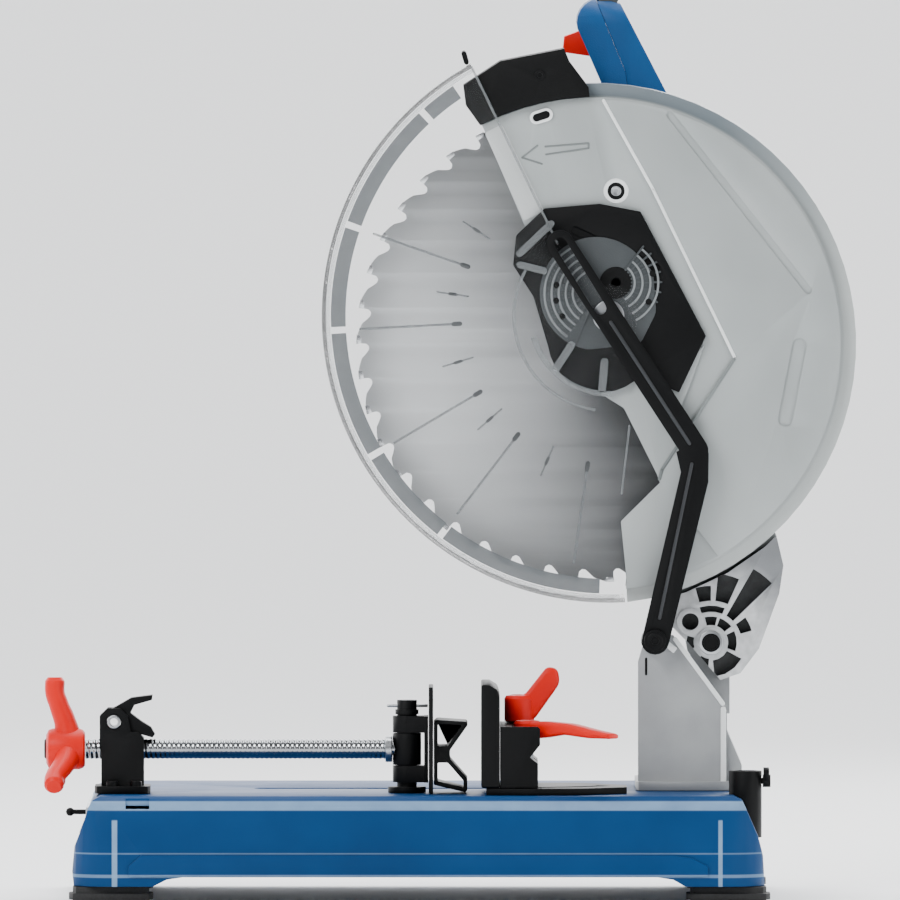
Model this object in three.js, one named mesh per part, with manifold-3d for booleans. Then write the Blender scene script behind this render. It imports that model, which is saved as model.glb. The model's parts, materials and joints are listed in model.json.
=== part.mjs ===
// Metal-cutting chop saw on its own base: a pivoting saw head with a retracting clear guard, driven
// by a link bar, over a base with a screw vice and a swivelling fence. Millimetres, +Z up.
// The blade runs in the plane Y = 0, the operator stands at the -X end, and -Y is the near side.
import * as THREE from "three";
import { mergeVertices } from "three/addons/utils/BufferGeometryUtils.js";
import Module from "manifold-3d";

const wasm = await Module();
wasm.setup();

// Driving dimensions
const gap = 0.3; // between pieces that touch
const tableTop = 68;
const footHeight = 10.7;
const baseHalfWidth = 135;
const wall = 6; // base casting
const bladeRadius = 152.5;
const bladeHalf = 1.1; // half of the blade's thickness
const toothCount = 42;
const guardRadius = 165.5; // fixed guard's outer rim
const guardFaceRadius = 156.8; // its raised side faces
const guardHalf = 33;
const clearRadius = 182.2; // retracting guard
const clearNear = -42;
const clearFar = 38;
const linkNear = -52;
const linkFar = -44;
const viceY = -75;
const viceZ = 96;
const screwRadius = 6.35;
const caseFar = 75; // far face of the gear case
const motorFar = 175;
const gearModule = 1.5;

// Axes across the saw, as [x, z]
const bladeAxis = [111.7, 351.7];
const motorAxis = [124.3, 390.8];
const clearAxis = [119.7, 369.8];
const headAxis = [184.9, 161.9];
const springHole = [171.8, 175.2];
const linkAxis = [149.2, 163.9];
const spindleLockAxis = [89.7, 339.7];
const releaseAxis = [-194, 113.4];
// Upright axes, as [x, y]
const fencePivot = [63, -31];
const postAxis = [-8.3, viceY];
const lockHub = [68, -95];

const finishes = {
  blue: { color: 0x1b578a, roughness: 0.45, metalness: 0.1 },
  blueShell: { color: 0x2a659f, roughness: 0.5, metalness: 0 },
  red: { color: 0xe8431f, roughness: 0.4, metalness: 0 },
  black: { color: 0x17191b, roughness: 0.5, metalness: 0.2 },
  blackMoulding: { color: 0x26282a, roughness: 0.6, metalness: 0 },
  rubber: { color: 0x111213, roughness: 0.9, metalness: 0 },
  silver: { color: 0xb4b9ba, roughness: 0.45, metalness: 0.3 },
  cast: { color: 0x9fa3a4, roughness: 0.55, metalness: 0.8 },
  steel: { color: 0xa8abae, roughness: 0.35, metalness: 1 },
  chrome: { color: 0xd0d3d6, roughness: 0.15, metalness: 1 },
  clear: { color: 0xdfe4e6, roughness: 0.1, metalness: 0 },
  grey: { color: 0x7d8284, roughness: 0.6, metalness: 0 },
};

// A closed geometry becomes a solid: shared points are joined and flat triangles dropped.
function solid(geometry) {
  const bare = geometry.clone();
  bare.deleteAttribute("normal");
  bare.deleteAttribute("uv");
  const merged = mergeVertices(bare, 1e-4);
  const index = merged.index.array;
  const kept = [];
  for (let i = 0; i < index.length; i += 3) {
    const [a, b, c] = [index[i], index[i + 1], index[i + 2]];
    if (a !== b && b !== c && c !== a) kept.push(a, b, c);
  }
  const vertProperties = merged.attributes.position.array;
  return new wasm.Manifold(new wasm.Mesh({ numProp: 3, vertProperties, triVerts: new Uint32Array(kept) }));
}

function geometryOf(shape) {
  const mesh = shape.getMesh();
  const geometry = new THREE.BufferGeometry();
  geometry.setAttribute("position", new THREE.BufferAttribute(new Float32Array(mesh.vertProperties), 3));
  geometry.setIndex(new THREE.BufferAttribute(new Uint32Array(mesh.triVerts), 1));
  geometry.computeVertexNormals();
  return geometry;
}

const join = (first, ...others) => others.reduce((sum, other) => sum.add(other), first);
const cut = (first, ...others) => others.reduce((rest, other) => rest.subtract(other), first);

function extruded(outline, depth) {
  const shape = new THREE.Shape(outline.map(([a, b]) => new THREE.Vector2(a, b)));
  return new THREE.ExtrudeGeometry(shape, { depth, bevelEnabled: false });
}

// An [x, z] outline from Y = near to Y = far.
function side(outline, near, far) {
  return solid(extruded(outline, far - near).rotateX(Math.PI / 2).translate(0, far, 0));
}

// An [x, y] outline from Z = low to Z = high.
function plan(outline, low, high) {
  return solid(extruded(outline, high - low).translate(0, 0, low));
}

// A [y, z] outline from X = left to X = right.
function endOn(outline, left, right) {
  const alongX = new THREE.Matrix4().makeBasis(
    new THREE.Vector3(0, 1, 0),
    new THREE.Vector3(0, 0, 1),
    new THREE.Vector3(1, 0, 0),
  );
  return solid(extruded(outline, right - left).applyMatrix4(alongX).translate(left, 0, 0));
}

function box(low, high) {
  const size = high.map((value, i) => value - low[i]);
  const centre = high.map((value, i) => (value + low[i]) / 2);
  return solid(new THREE.BoxGeometry(...size).translate(...centre));
}

// Round bars along each axis; centre holds the two other coordinates in X, Y, Z order.
function rodX(radius, from, to, [y, z], sides = 16) {
  const bar = new THREE.CylinderGeometry(radius, radius, to - from, sides).rotateZ(-Math.PI / 2);
  return solid(bar.translate((from + to) / 2, y, z));
}

function rodY(radius, from, to, [x, z], sides = 16) {
  const bar = new THREE.CylinderGeometry(radius, radius, to - from, sides);
  return solid(bar.translate(x, (from + to) / 2, z));
}

function rodZ(radius, from, to, [x, y], sides = 16) {
  const bar = new THREE.CylinderGeometry(radius, radius, to - from, sides).rotateX(Math.PI / 2);
  return solid(bar.translate(x, y, (from + to) / 2));
}

// A turned piece about the Y axis at [x, z]; the profile is [radius, y] from the near end to the far end.
function turnedY(profile, [x, z], segments = 16) {
  const points = profile.map(([radius, y]) => new THREE.Vector2(radius, y));
  return solid(new THREE.LatheGeometry(points, segments).translate(x, 0, z));
}

// Points round an arc, in degrees from the first axis towards the second.
function arc([cx, cy], radius, from, to, steps) {
  return Array.from({ length: steps + 1 }, (_, i) => {
    const angle = THREE.MathUtils.degToRad(from + ((to - from) * i) / steps);
    return [cx + radius * Math.cos(angle), cy + radius * Math.sin(angle)];
  });
}

function polar([cx, cy], radius, degrees) {
  return arc([cx, cy], radius, degrees, degrees, 1)[0];
}

function band(centre, inner, outer, from, to, steps) {
  return [...arc(centre, outer, from, to, steps), ...arc(centre, inner, to, from, steps)];
}

// A bar with round ends between two points.
function capsule(first, second, width, steps = 6) {
  const lean = THREE.MathUtils.radToDeg(Math.atan2(second[1] - first[1], second[0] - first[0]));
  const end = arc(second, width / 2, lean - 90, lean + 90, steps);
  return [...end, ...arc(first, width / 2, lean + 90, lean + 270, steps)];
}

// A rectangle with rounded corners.
function rounded([left, low], [right, high], radius, steps = 2) {
  return [
    ...arc([right - radius, low + radius], radius, -90, 0, steps),
    ...arc([right - radius, high - radius], radius, 0, 90, steps),
    ...arc([left + radius, high - radius], radius, 90, 180, steps),
    ...arc([left + radius, low + radius], radius, 180, 270, steps),
  ];
}

function hexagon(centre, acrossFlats) {
  return arc(centre, acrossFlats / Math.sqrt(3), 30, 330, 5);
}

function piece(name, shape, finish) {
  const mesh = new THREE.Mesh(geometryOf(shape), new THREE.MeshStandardMaterial(finishes[finish]));
  mesh.name = name;
  return mesh;
}

function group(...pieces) {
  const made = new THREE.Group();
  made.add(...pieces);
  return made;
}

// ---- Base ----

// The casting is the overlap of its side, end and plan outlines, hollowed from below.
function baseCasting() {
  const sideOutline = [
    [-219, 11], [-220, 20], [-218.5, 36], [-213, 50], [-210, 60], [-207, 65.5], [-202, tableTop],
    [198, tableTop], [203.5, 65.5], [207, 58], [214, 42], [217, 30], [218, 11],
    [168, 11], [160, 15.5], [150, 17], [-150, 17], [-160, 15.5], [-169, 11],
  ];
  const half = baseHalfWidth;
  const endOutline = [
    [-half, 11], [-half, 58], [-half + 2.5, 64], [-half + 8, tableTop],
    [half - 8, tableTop], [half - 2.5, 64], [half, 58], [half, 11],
  ];
  const outer = side(sideOutline, -half, half)
    .intersect(endOn(endOutline, -225, 225))
    .intersect(plan(rounded([-221, -half], [219, half], 26, 6), 0, 80));
  const hollow = plan(rounded([-205, -half + wall], [196, half - wall], 18), 5, tableTop - wall);
  const lipOutline = [[-184, 24], [-176, 31], [160, 31], [172, 29], [182, 24], [182, 17.4], [-184, 17.4]];
  const nearLip = side(lipOutline, -half - 2, -half + 1);
  const ledge = (low, high) => box([-200, low, 27], [150, high, 29.5]);
  const bladeSlot = plan(capsule([-98, 0], [96, 0], 16), tableTop - wall - 1, tableTop + 1);
  const drawerDoor = box([-225, -103, 26], [-200, 103, 61]);
  const bracketNotch = box([-186, -half - 1, 60], [-171, -half + 6, tableTop + 1]);
  const socketBoss = rodZ(16, 34, 66, [206, -95]).intersect(side(sideOutline, -half, half));
  const socketRecess = rodZ(10.8, 39, 80, [206, -95]);
  const body = cut(outer, hollow, bladeSlot, drawerDoor, bracketNotch);
  const inner = half - wall + 1;
  return cut(join(body, nearLip, ledge(-inner, -92), ledge(92, inner), socketBoss), socketRecess);
}

function foot(x, y) {
  const pad = plan(rounded([x - 24, y - 16], [x + 24, y + 16], 7), 0, footHeight);
  return join(pad, plan(rounded([x - 26.5, y - 18.5], [x + 26.5, y + 18.5], 9), 2.5, 6.5));
}

function feet() {
  const corners = {
    near_left: [-195.5, -112],
    near_right: [195, -112],
    far_left: [-195.5, 112],
    far_right: [195, 112],
  };
  return Object.entries(corners).map(([corner, [x, y]]) => piece(`foot_${corner}`, foot(x, y), "rubber"));
}

function chipDrawer() {
  const tray = cut(box([-208, -98, 30], [140, 98, 52]), box([-206.5, -96.5, 31.5], [138.5, 96.5, 53]));
  const front = box([-211.5, -102, 27], [-207.5, 102, 60]);
  return join(tray, front);
}

function drawerKnob() {
  const ball = solid(new THREE.SphereGeometry(2.8, 10, 6).translate(-223, 0, 53));
  return join(ball, rodX(1.6, -224, -211.8, [0, 53], 12));
}

// ---- Pedestal, hinge and stops ----

function pedestal() {
  const foot = tableTop + gap;
  const cheekOutline = [[138.4, foot], [138.4, 150], [141, 159], [147, 166], [160.7, 167], [194, 122], [195, foot]];
  const cheek = side(cheekOutline, -40, -35.5);
  const body = side([[141, foot], [141, 118], [147, 124], [190, 124], [195, 118], [195, foot]], -36, 58);
  const hollow = side([[147, 60], [147, 117], [188, 117], [188, 60]], -30, 52);
  const flange = plan(rounded([137, -46], [204.5, 64], 6), foot, 74);
  const rearWeb = side([[190, 70], [190, 118], [204.5, 84], [204.5, 70]], -36, 58);
  const lugRoot = side([[172, 116], [172, 158], [197, 158], [197, 116]], -10, 10);
  const lug = join(lugRoot, rodY(16, -10, 10, headAxis));
  const linkBoss = rodY(9, -43.7, -39, linkAxis);
  const openBelow = box([147, -30, 60], [188, 52, 80]);
  return cut(
    join(body, cheek, flange, rearWeb, lug, linkBoss),
    hollow,
    openBelow,
    rodY(6.3, -20, 20, headAxis),
    rodY(4.3, -45, -30, linkAxis),
    rodY(4.3, 50, 60, [178, 104]),
    rodZ(4.3, 110, 130, [153, 46]),
  );
}

function hingePin() {
  const shaft = join(rodY(6, -33, 88, headAxis), rodY(7.9, -34.5, -30.3, headAxis));
  return cut(shaft, rodY(3.6, -36, -26, headAxis, 20));
}

// A torsion spring round the pin's far end.
function returnSpring() {
  const turns = 3;
  const stepsPerTurn = 12;
  const points = Array.from({ length: turns * stepsPerTurn + 1 }, (_, i) => {
    const angle = (2 * Math.PI * i) / stepsPerTurn;
    const y = 67 + (5.4 * i) / stepsPerTurn;
    return new THREE.Vector3(headAxis[0] + 11 * Math.cos(angle), y, headAxis[1] + 11 * Math.sin(angle));
  });
  const section = new THREE.Shape(arc([0, 0], 1.8, 0, 300, 5).map(([a, b]) => new THREE.Vector2(a, b)));
  const extrudePath = new THREE.CatmullRomCurve3(points);
  const steps = points.length - 1;
  return solid(new THREE.ExtrudeGeometry(section, { steps, bevelEnabled: false, extrudePath }));
}

function depthStopScrew() {
  const head = plan(hexagon([153, 46], 13), 138, 145);
  return join(rodZ(4, 100, 139, [153, 46], 16), head, plan(hexagon([153, 46], 13), 124.4, 129));
}

function transportLockPin() {
  return turnedY([[0, 40], [4, 40], [4, 62], [8, 62], [9, 66], [9, 78], [7, 81], [0, 81]], [178, 104], 20);
}

// ---- Rear socket ----

function rearSocket() {
  const tube = cut(rodZ(10.4, 40.7, 83, [206, -95]), rodZ(7.2, 46, 84, [206, -95]));
  return cut(tube, rodX(2.4, 206, 220, [-95, 76.5], 12));
}

function wingScrew() {
  const shaft = rodX(2, 210.5, 219, [-95, 76.5], 12);
  const wings = join(
    endOn(capsule([-95, 76.5], [-104, 82.5], 4.5, 4), 217.5, 221),
    endOn(capsule([-95, 76.5], [-86, 82.5], 4.5, 4), 217.5, 221),
    rodX(4, 217, 222, [-95, 76.5], 14),
  );
  return join(shaft, wings);
}

// ---- Vice ----

function viceBracket() {
  const foot = tableTop + gap;
  const block = side([[-202, foot], [-202, 104], [-198, 107], [-179, 107], [-175, 103], [-175, foot]], -86, -64);
  const cheekOutline = [[-203, 98], [-203, 117], [-198, 122], [-190, 122], [-185, 117], [-183, 104], [-183, 98]];
  const cheeks = side(cheekOutline, -86, -64);
  const footPlate = plan(rounded([-206, -97], [-171, -53], 5), foot, 73);
  return cut(
    join(block, cheeks, footPlate),
    box([-210, -82.2, 104.5], [-160, -67.8, 130]),
    rodX(screwRadius + gap, -210, -170, [viceY, viceZ]),
    rodY(4.5, -90, -60, releaseAxis, 24),
  );
}

function leverPin() {
  return cut(rodY(4.2, -87.5, -62.5, releaseAxis, 24), rodY(2.5, -90, -60, releaseAxis, 20));
}

// A thumb lever whose claw drops onto the screw's thread.
function releaseLever() {
  const outline = [
    ...arc(releaseAxis, 8.4, 100, 262, 10),
    [-187, 105.2], [-178, 105.6], [-172.5, 104.2], [-169.5, 103.4], [-168, 105.5],
    [-170.5, 110], [-177, 114], [-183.5, 119], [-181, 124],
    [-170, 127.2], [-169.5, 130.4], [-183, 128.6], [-191, 124],
  ];
  return cut(side(outline, -81.5, -68.5), rodY(4.5, -90, -60, releaseAxis, 24));
}

function viceScrew() {
  const rod = rodX(screwRadius, -212, -18, [viceY, viceZ]);
  return join(rod, rodX(4, -19, -5, [viceY, viceZ], 16), rodX(8.4, -22, -17.6, [viceY, viceZ]));
}

// Three arms round a hub at the screw's outer end.
function viceHandle() {
  const centre = [viceY, viceZ];
  const hub = cut(rodX(13, -236, -212.3, centre), rodX(screwRadius + gap, -225, -205, centre));
  const arms = [90, 210, 330].map((angle) => {
    const bend = polar(centre, 30, angle);
    const inner = endOn(capsule(polar(centre, 6, angle), bend, 14), -232, -217);
    const outer = endOn(capsule(bend, polar(centre, 46, angle), 17), -238.5, -225);
    return join(inner, outer);
  });
  return join(hub, ...arms);
}

function jawPost() {
  const shaft = rodZ(6.3, 71, 127, postAxis);
  const collar = rodZ(7.4, 118, 121, postAxis);
  const hub = rodZ(9, 86, 106, postAxis);
  const shoe = rodZ(12, tableTop + gap, 72, postAxis, 24);
  const screwSeat = rodX(4.3, -20, -4, [viceY, viceZ], 20);
  return cut(join(shaft, collar, hub, shoe), screwSeat, rodX(1.3, -30, 30, [viceY, 123.4], 12));
}

function jawCrossPin() {
  return rodX(1, -21, 5, [viceY, 123.4], 12);
}

// The swivelling yoke turns on the post and carries the jaw's plates.
function jawYoke() {
  const eye = (low, high) => cut(
    join(rodZ(9, low, high, postAxis), box([-8, viceY - 9, low], [5.2, viceY + 9, high])),
    rodZ(6.6, low - 1, high + 1, postAxis),
  );
  const bridge = box([2.6, viceY - 14, 75], [5.2, viceY + 14, 117]);
  return join(eye(75, 85.5), eye(106.5, 117), bridge);
}

function jawBackPlate() {
  return box([5.5, viceY - 30, tableTop + 0.6], [8.3, viceY + 30, 136]);
}

function vJaw() {
  const outer = [
    [8.7, 74], [28.5, 69.2], [30, 70.5], [30, 78], [19, 90.5],
    [19, 96], [30.3, 112], [29.5, 114], [10.8, 115.2], [8.7, 113.5],
  ];
  const upper = [[11.2, 98.4], [17.6, 98.4], [26, 111.2], [11.2, 112.4]];
  const lower = [[11.2, 88], [17.6, 88], [27.5, 76.6], [27.5, 72.2], [11.2, 76.2]];
  const body = side(outer, viceY - 22, viceY + 22);
  return cut(body, side(upper, -120, -30), side(lower, -120, -30));
}

// ---- Fence ----

function fenceBasePlate() {
  const outline = [
    [42, -116], [66, -120], [100, -116], [131, -92], [131, -56], [112, -30], [96, -18], [42, -15],
  ];
  const slot = band(fencePivot, 59.5, 69.5, -89, -34, 10);
  return cut(plan(outline, tableTop + gap, 72.3), plan(slot, 60, 80), rodZ(5.3, 60, 80, fencePivot));
}

function fenceFace() {
  const outline = [[38.7, 72.8], [38.7, 138], [44, 138], [49, 135], [50.5, 130], [50.5, 72.8]];
  return side(outline, -118, -16);
}

function fenceBody() {
  const outline = [
    [50.8, 72.8], [50.8, 111.4], [74.6, 111.4], [76, 110], [76, 100], [69.6, 92], [74.7, 88], [74.7, 72.8],
  ];
  return cut(
    side(outline, -116, -18),
    box([58.5, -112.5, 101], [90, -81, 117]),
    box([54, -76, 80], [80, -64, 111]),
    rodZ(5.3, 60, 130, fencePivot),
    rodZ(4.3, 60, 112, lockHub),
  );
}

function fencePivotBolt() {
  return join(rodZ(5, 68.6, 112.5, fencePivot, 20), plan(hexagon(fencePivot, 17), 111.8, 117.5));
}

// A cam lever over the fence: its hub turns on the fence and the arm rises to the rear.
function fenceClampLever() {
  const hub = [63, -51];
  const outline = [[58, 113], [72, 113], [89, 137], [87.5, 146], [80.5, 147.5], [66, 129], [56, 128]];
  return join(rodZ(9.5, 111.9, 129, hub), side(outline, -56, -46));
}

// The angle lock's lever points back and outwards, low over the base plate.
function fenceLockLever() {
  const reach = 66;
  const lean = -35;
  const upper = [
    [0, 114], [14, 114.5], [34, 113.5], [52, 110], [reach, 107.6],
    [reach + 1, 104.5], [50, 104.5], [30, 106.5], [14, 104], [0, 103],
  ];
  const arm = extruded(upper, 13).rotateX(Math.PI / 2).translate(0, 6.5, 0);
  arm.rotateZ(THREE.MathUtils.degToRad(lean)).translate(lockHub[0], lockHub[1], 0);
  return join(solid(arm), rodZ(8.8, 103, 114, lockHub), rodZ(3.9, 74, 104, lockHub, 16));
}

// ---- Link bar ----

const slotTop = [88.9, 416];
const slotEnd = [114.3, 374.7];
const elbow = [174.6, 284.6];

// The bar's slot is open at the top and goes on as a blind groove behind, where the guard's stud slides.
function linkBar() {
  const lower = [
    ...arc(linkAxis, 9, 190, 350, 8),
    [elbow[0] + 8.4, elbow[1] - 20], [elbow[0] + 8.6, elbow[1] - 2], [elbow[0] + 5, elbow[1] + 8],
    [elbow[0] - 12, elbow[1] - 1], [elbow[0] - 9, elbow[1] - 14],
  ];
  const grooveStart = [118, 373];
  const grooveEnd = [135.6, 344.2];
  const bar = join(side(lower, linkNear, linkFar), side(capsule(slotTop, elbow, 17, 8), linkNear, linkFar));
  return cut(
    bar,
    side(capsule(slotTop, slotEnd, 8), linkNear - 1, linkFar + 1),
    side(capsule(grooveStart, grooveEnd, 9.8), linkFar - 4.6, linkFar + 1),
    rodY(4.4, linkNear - 1, linkFar + 1, linkAxis, 20),
  );
}

function linkPivotBolt() {
  const shaft = rodY(4, -53, -33, linkAxis, 20);
  return join(shaft, rodY(7, -56, linkNear - gap, linkAxis, 24), rodY(7, -35.2, -32, linkAxis, 24));
}

// ---- Saw head castings ----

function disc(centre, radius, near, far, sides = 36) {
  return rodY(radius, near, far, centre, sides);
}

function caseOutline(near, far) {
  return join(disc(bladeAxis, 42, near, far, 28), disc(motorAxis, 50, near, far, 32));
}

// One casting holds the gear case, the arm and the hinge hub.
function headCasting() {
  const arm = side([
    [92, 330], [140, 235], [165, 185], [170, 168], [184.9, 144.9],
    [203.7, 142.4], [215.4, 157.9], [228.3, 192.9], [231, 211], [218, 262], [168, 345],
  ], 42, 62);
  const fan = side([
    [152, 192], [158, 184], [160, 172], [170, 162], [184.9, 144.9], [191, 138],
    [203.7, 142.4], [215.4, 157.9], [228.3, 192.9], [231, 211], [226, 232], [190, 222],
  ], -28, 62);
  const bosses = join(rodY(9.6, -30, -27, headAxis), rodY(8.6, -30, -27, springHole));
  // Cored pockets between the ribs, each from one angle and radius to another about the hinge.
  const pockets = [
    [76, 104, 11, 16.5], [38, 70, 11, 16.5], [-20, 26, 11, 16.5], [-84, -28, 11.5, 22], [-126, -96, 10.5, 15],
    [164, 198, 11, 15.5], [68, 108, 19.5, 23.5], [66, 84, 26.5, 44], [90, 106, 26.5, 36], [44, 60, 19.5, 54],
    [16, 36, 19.5, 27],
  ].map(([from, to, inner, outer]) => side(band(headAxis, inner, outer, from, to, 3), -29, -16));
  const bearingSeat = rodY(20, 37, 47, bladeAxis);
  const hollowCase = cut(
    join(disc(bladeAxis, 37.5, 38, caseFar + 1, 24), disc(motorAxis, 45, 38, caseFar + 1, 24)),
    bearingSeat,
  );
  return cut(
    join(caseOutline(guardHalf + 0.5, caseFar), arm, cut(fan, disc(bladeAxis, 168, -34, 41.9)), bosses),
    hollowCase,
    rodY(17, 38, 48, bladeAxis),
    rodY(12, 30, 39, bladeAxis),
    ...pockets,
    disc(headAxis, 28.5, -10.3, 10.3, 32),
    rodY(6.3, -32, 64, headAxis),
    rodY(5.4, -31, -12, springHole, 24),
  );
}

const hingeSide = [[131.4, 201], [127.6, 239], [152.4, 263.6], [150.5, 269], [129.5, 311]];
const hubSide = [[112, 322], [92, 345], [88, 385], [66, 428], [63.5, 434], [41, 487]];

// The outline of the fixed guard: a rim arc over the blade's back, and an open front edge.
function guardOutline(radius) {
  return [...arc(bladeAxis, radius, 117.5, -83, 40), ...hingeSide, ...hubSide];
}

function fixedGuard() {
  const faces = side(guardOutline(guardFaceRadius), -guardHalf, guardHalf);
  const drum = join(faces, side(guardOutline(guardRadius), -26, 26));
  const raised = side([
    [116.5, 506.5], [148, 450], [200, 343], [153.7, 272], [152, 266],
    ...arc(bladeAxis, guardFaceRadius - 1.2, -60, 86, 30),
  ], -guardHalf - 1.6, -guardHalf + 1);
  const groove = side(capsule([158.8, 497.5], [246.5, 386], 5), -40, -guardHalf);
  const pill = side(capsule([241, 351], [232, 304], 9.5), -40, -guardHalf);
  const screwHole = rodY(4.4, -36, -guardHalf + 1.5, [124.5, 449], 20);
  const ovalBoss = side(capsule([74.5, 497], [80.5, 497], 6), -guardHalf - 1.2, -guardHalf + 1);
  return cut(
    join(drum, raised, ovalBoss),
    groove,
    pill,
    screwHole,
    disc(bladeAxis, guardRadius - 2.5, -23.5, 23.5),
    disc(bladeAxis, guardFaceRadius - 2.5, -30.5, 30.5),
    disc(bladeAxis, 30, -40, -30, 36),
    disc(bladeAxis, 18, 30, 40, 32),
  );
}

// A black moulding closes the front of the fixed guard.
function guardTopCap() {
  const outline = [
    [38, 491], [29, 503.6], [27.4, 516], [50.8, 531.5], [91.5, 539.5], [95, 531], [107, 515],
    ...arc(bladeAxis, guardFaceRadius + 0.5, 91.5, 117.9, 8),
  ];
  const inside = [[29.8, 503.8], [28.8, 515.2], [51, 529.6], [90, 537], [93, 531], [100, 520], [60, 505], [41, 492]];
  return cut(
    side(outline, -38.4, 35),
    disc(bladeAxis, guardRadius + 1.4, -26.4, 26.4),
    side(inside, -26.4, 26.4),
    rodY(2.5, -40, -30, [76, 522.7], 16),
  );
}

function hubCoverPlate() {
  const outline = [
    [61, 421], [79, 438], [114, 441], [140, 436], [181.6, 357], [164.5, 321],
    ...arc([115, 355], 34, -42, -172, 12),
    [72, 382], [59, 402],
  ];
  return cut(side(outline, -38.2, -35), side(capsule([98, 424], [150, 400], 5), -39, -37));
}

// The ribbed carrier plate under the clear guard's hub.
function hubRibPlate() {
  const rim = [...arc([112, 384], 36, 35, 262, 14), [140, 352], [150, 372], [148, 398]];
  const ribs = [60, 100, 140, 180, 220, 260].map((angle) =>
    side(capsule(polar([112, 384], 14, angle), polar([112, 384], 33, angle), 2.4, 3), -39.3, -38.6));
  const motorBoss = cut(rodY(7, -39.6, -38.5, motorAxis), rodY(3, -41, -38.8, motorAxis, 16));
  return join(side(rim, -38.9, -38.5), ...ribs, motorBoss);
}

// The stud carries the clear guard's hub and runs on into the link bar's groove.
function guardStud() {
  return join(
    rodY(7, -42.3, -39.3, clearAxis, 28),
    rodY(10, -43.7, -42.3, clearAxis, 28),
    rodY(2.6, -48.2, -43.5, clearAxis, 16),
  );
}

// ---- Retracting clear guard ----

function clearGuard() {
  const [from, to] = [118.8, 273.3];
  const nearWall = side([
    ...arc(clearAxis, clearRadius, from, to, 32),
    [126, 240], [139, 352],
    ...arc(clearAxis, 20, -30, 100, 8),
    [88, 415],
  ], clearNear, clearNear + 2);
  const farWall = side(band(clearAxis, 100, clearRadius, from, to, 32), clearFar - 2, clearFar);
  const rim = side(band(clearAxis, clearRadius - 3.2, clearRadius, from, to, 32), clearNear, clearFar);
  const rib = (angle, inner, outer) => {
    const line = capsule(polar(clearAxis, inner, angle), polar(clearAxis, outer, angle), 1.8, 1);
    return side(line, clearNear - 1, clearNear + 1);
  };
  const ribs = [132.4, 160.7, 183, 210.6, 232.6, 262].map((angle) => rib(angle, 97, 176));
  const dashes = [147, 172, 197, 221, 247].map((angle) => rib(angle, 89, 111));
  return cut(join(nearWall, farWall, rim, ...ribs, ...dashes), rodY(7.4, -45, -38, clearAxis));
}

function guardTab() {
  const inner = polar(clearAxis, clearRadius + gap + 1.9, 119.3);
  const outer = polar(clearAxis, clearRadius + 8, 118.9);
  return side(capsule(inner, outer, 3.2, 3), -30, 26);
}

// ---- Blade and drive ----

// Saw teeth round a disc: each tooth's steep face looks the way the blade turns, down at the operator's end.
function blade() {
  const tooth = 360 / toothCount;
  const outline = Array.from({ length: toothCount }, (_, i) => i * tooth).flatMap((start) => [
    polar(bladeAxis, bladeRadius, start),
    polar(bladeAxis, bladeRadius - 8, start + tooth * 0.14),
    polar(bladeAxis, bladeRadius - 2.5, start + tooth * 0.6),
    polar(bladeAxis, bladeRadius, start + tooth * 0.84),
  ]);
  return cut(side(outline, -bladeHalf, bladeHalf), rodY(8.3, -5, 5, bladeAxis));
}

function gearOutline(centre, teeth, turn) {
  const pitch = (gearModule * teeth) / 2;
  const step = 360 / teeth;
  return Array.from({ length: teeth }, (_, i) => i * step + turn).flatMap((middle) => [
    polar(centre, pitch - 1.6, middle - step / 2),
    polar(centre, pitch + 0.9, middle - step * 0.06),
    polar(centre, pitch + 0.9, middle + step * 0.06),
  ]);
}

const gearRise = motorAxis[1] - bladeAxis[1];
const gearRun = motorAxis[0] - bladeAxis[0];
const gearLine = THREE.MathUtils.radToDeg(Math.atan2(gearRise, gearRun)); // from the blade's axis to the motor's

function driveGear() {
  const teeth = side(gearOutline(bladeAxis, 44, gearLine), 49, 59);
  return cut(teeth, rodY(8.3, 40, 70, bladeAxis));
}

function spindle() {
  return rodY(8, -9, 69, bladeAxis, 28);
}

function ring(centre, inner, outer, near, far, sides = 20) {
  return cut(rodY(outer, near, far, centre, sides), rodY(inner, near - 1, far + 1, centre, sides));
}

function bladeBolt() {
  return join(rodY(7, -14.5, -9.3, bladeAxis, 24), side(hexagon(bladeAxis, 13), -19, -14));
}

function armature() {
  const pinion = side(gearOutline(motorAxis, 11, gearLine + 180 + 360 / 22), 48, 60);
  const turned = turnedY([
    [0, 44], [5, 44], [5, 84], [34, 85], [34, 90], [12, 92], [12, 98], [27, 98], [27, 142], [12, 142],
    [12, 148], [15, 148], [15, 164], [5, 164], [5, 172], [0, 172],
  ], motorAxis, 12);
  return join(pinion, turned);
}

function motorHousing() {
  const flange = caseOutline(caseFar + 0.4, 81);
  const barrel = disc(motorAxis, 47, 80, motorFar, 28);
  const ribs = [20, 60, 120, 160, 200, 240, 280, 320, 0].map((angle) =>
    side(capsule(polar(motorAxis, 45, angle), polar(motorAxis, 49, angle), 3, 1), 84, motorFar - 8));
  const rearSeat = rodY(20, 61.5, 77, bladeAxis);
  return cut(
    join(flange, barrel, ...ribs, cut(rearSeat, rodY(30, 60, 70, motorAxis))),
    disc(motorAxis, 42.5, 81, motorFar + 1, 28),
    rodY(14, 60, 82, motorAxis),
    rodY(17, 60, 70, bladeAxis),
    rodX(7.6, 60, 190, [158, motorAxis[1]], 24),
    rodY(4.6, 74, 82, spindleLockAxis),
  );
}

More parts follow.
